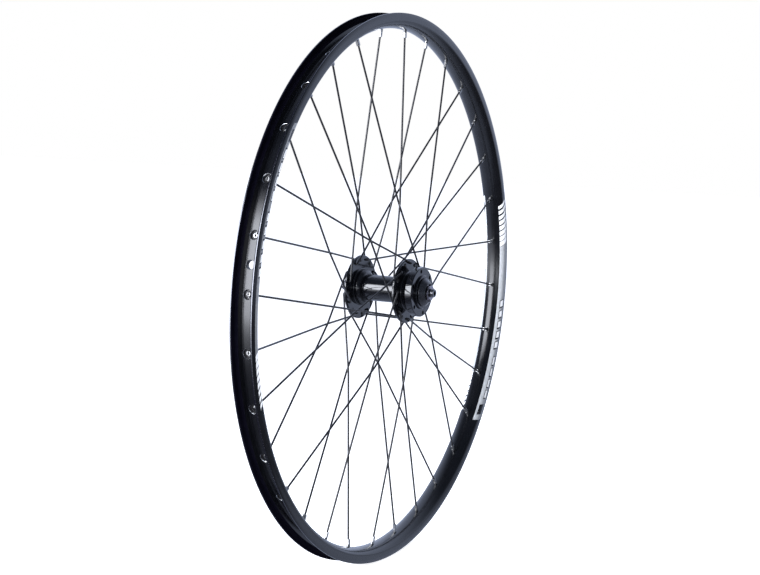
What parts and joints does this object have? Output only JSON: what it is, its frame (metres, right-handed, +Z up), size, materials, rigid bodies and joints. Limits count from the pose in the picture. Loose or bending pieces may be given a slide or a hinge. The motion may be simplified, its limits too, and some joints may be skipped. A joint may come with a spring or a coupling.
{
  "type": "bicycle front wheel",
  "caption": "Bare front bicycle wheel for a disc brake, with a black box-section rim, crossed black wire spokes, bright nipples and a hub on a hollow quick-release axle.",
  "frame": {"origin": "centre of the wheel, on the axle's axis and in the middle of the rim's width", "axes": "+Y along the axle towards the brake disc side, which is the rider's left; +X forwards; +Z up"},
  "size_m": [0.572, 0.108, 0.572],
  "materials": {
    "rim_black": "gloss black anodised",
    "spoke_black": "satin black oxide",
    "nipple_nickel": "bright nickel plate",
    "hub_black": "gloss black anodised",
    "axle_steel": "dark turned steel",
    "bearing_steel": "ground hardened steel",
    "locknut_steel": "bright zinc plate",
    "cover_rubber": "moulded, satin"
  },
  "bodies": {
    "axle_set": {"axle": "axle_steel", "cone_left": "bearing_steel", "cone_right": "bearing_steel", "lock_washer_left": "locknut_steel", "lock_washer_right": "locknut_steel", "locknut_left": "locknut_steel", "locknut_right": "locknut_steel", "dust_cover_left": "cover_rubber", "dust_cover_right": "cover_rubber"},
    "wheel": {"rim": "rim_black", "nipples": "nipple_nickel", "hub_shell": "hub_black", "spoke_01": "spoke_black", "spoke_02": "spoke_black", "spoke_03": "spoke_black", "spoke_04": "spoke_black", "spoke_05": "spoke_black", "spoke_06": "spoke_black", "spoke_07": "spoke_black", "spoke_08": "spoke_black", "spoke_09": "spoke_black", "spoke_10": "spoke_black", "spoke_11": "spoke_black", "spoke_12": "spoke_black", "spoke_13": "spoke_black", "spoke_14": "spoke_black", "spoke_15": "spoke_black", "spoke_16": "spoke_black", "spoke_17": "spoke_black", "spoke_18": "spoke_black", "spoke_19": "spoke_black", "spoke_20": "spoke_black", "spoke_21": "spoke_black", "spoke_22": "spoke_black", "spoke_23": "spoke_black", "spoke_24": "spoke_black", "spoke_25": "spoke_black", "spoke_26": "spoke_black", "spoke_27": "spoke_black", "spoke_28": "spoke_black", "spoke_29": "spoke_black", "spoke_30": "spoke_black", "spoke_31": "spoke_black", "spoke_32": "spoke_black", "bearing_cup_left": "bearing_steel", "bearing_cup_right": "bearing_steel"},
    "ball_row_left": {"balls_left": "bearing_steel"},
    "ball_row_right": {"balls_right": "bearing_steel"}
  },
  "joints": [
    {"name": "wheel_turn", "type": "hinge", "parent": "axle_set", "child": "wheel", "pos_m": [0, 0, 0], "axis": [0, 1, 0], "continuous": true},
    {"name": "ball_row_left_turn", "type": "hinge", "parent": "axle_set", "child": "ball_row_left", "pos_m": [0, 0.0376, 0], "axis": [0, 1, 0], "continuous": true},
    {"name": "ball_row_right_turn", "type": "hinge", "parent": "axle_set", "child": "ball_row_right", "pos_m": [0, -0.0376, 0], "axis": [0, 1, 0], "continuous": true}
  ],
  "couplings": [
    {"joint": "ball_row_left_turn", "follows": "wheel_turn", "ratio": 0.6},
    {"joint": "ball_row_right_turn", "follows": "wheel_turn", "ratio": 0.6}
  ]
}
